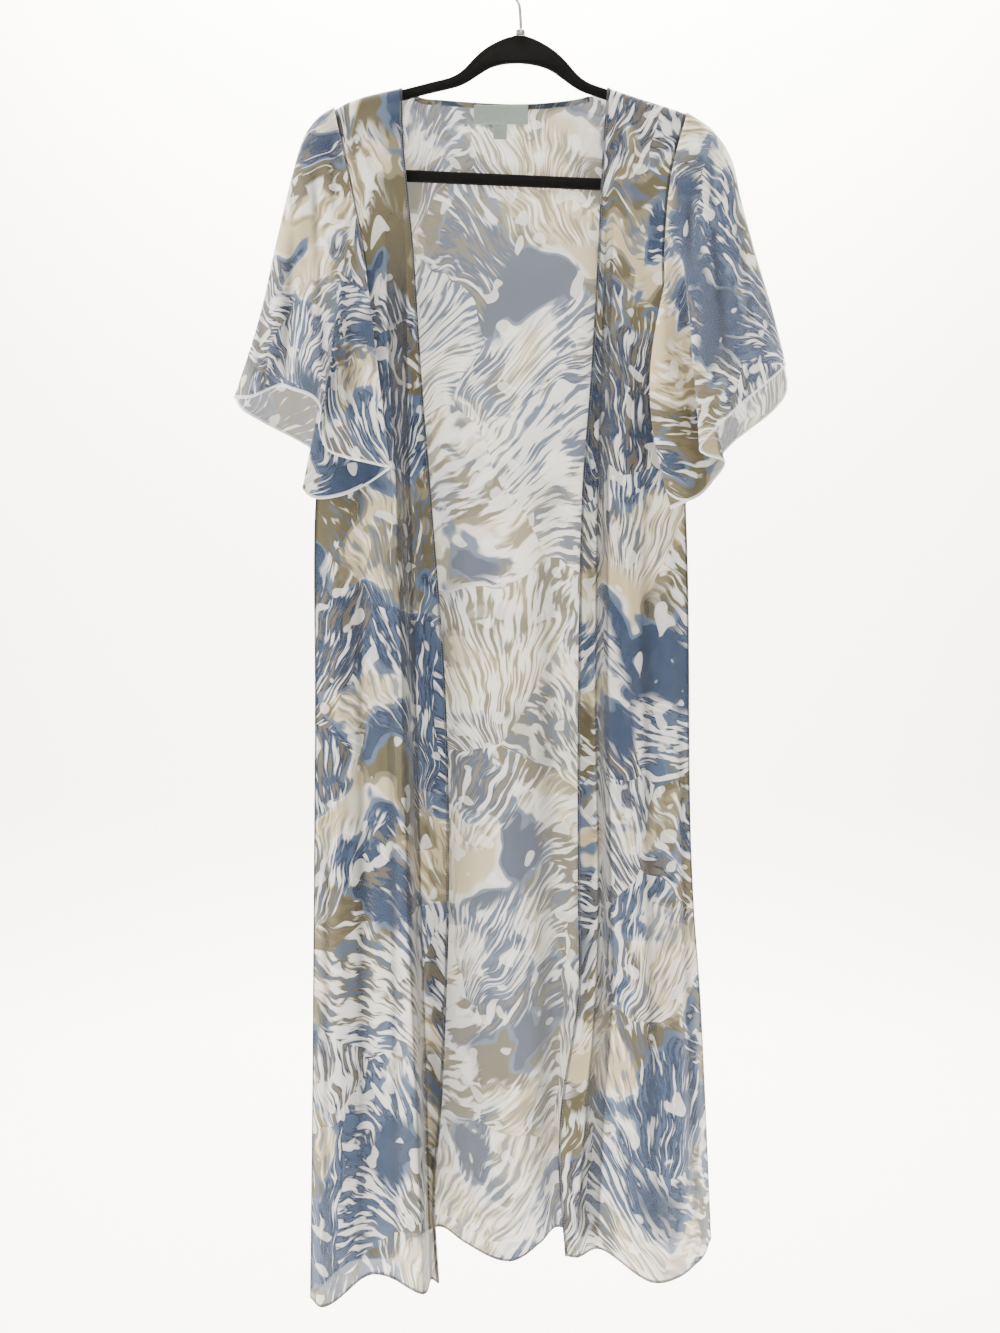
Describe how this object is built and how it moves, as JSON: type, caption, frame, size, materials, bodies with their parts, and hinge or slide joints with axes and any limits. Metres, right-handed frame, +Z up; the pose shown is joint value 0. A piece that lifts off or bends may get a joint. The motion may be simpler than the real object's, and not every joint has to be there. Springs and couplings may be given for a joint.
{
  "type": "open-front duster on a hanger",
  "caption": "Long sheer open-front duster with elbow-length flutter sleeves and narrow hems, hanging on a slim flocked hanger with a steel hook.",
  "frame": {"origin": "bearing point of the hanger's hook, the inside of its top, where it lies on a rail", "axes": "+Z up, the open front faces -Y, the wearer's right side is -X"},
  "size_m": [0.5841, 0.1309, 1.4035],
  "materials": {
    "chiffon": "sheer matt chiffon printed with blue, tan and cream strokes",
    "woven_label": "plain woven patch, blank",
    "black_flock": "black flocking over moulded plastic",
    "steel": "plated steel wire"
  },
  "bodies": {
    "root": {"back": "chiffon", "right_front": "chiffon", "left_front": "chiffon", "right_front_facing": "chiffon", "left_front_facing": "chiffon", "right_sleeve": "chiffon", "left_sleeve": "chiffon", "neck_binding": "chiffon", "label": "woven_label", "size_tab": "woven_label", "hanger": "black_flock", "hanger_boss": "steel", "hook": "steel"}
  },
  "joints": []
}
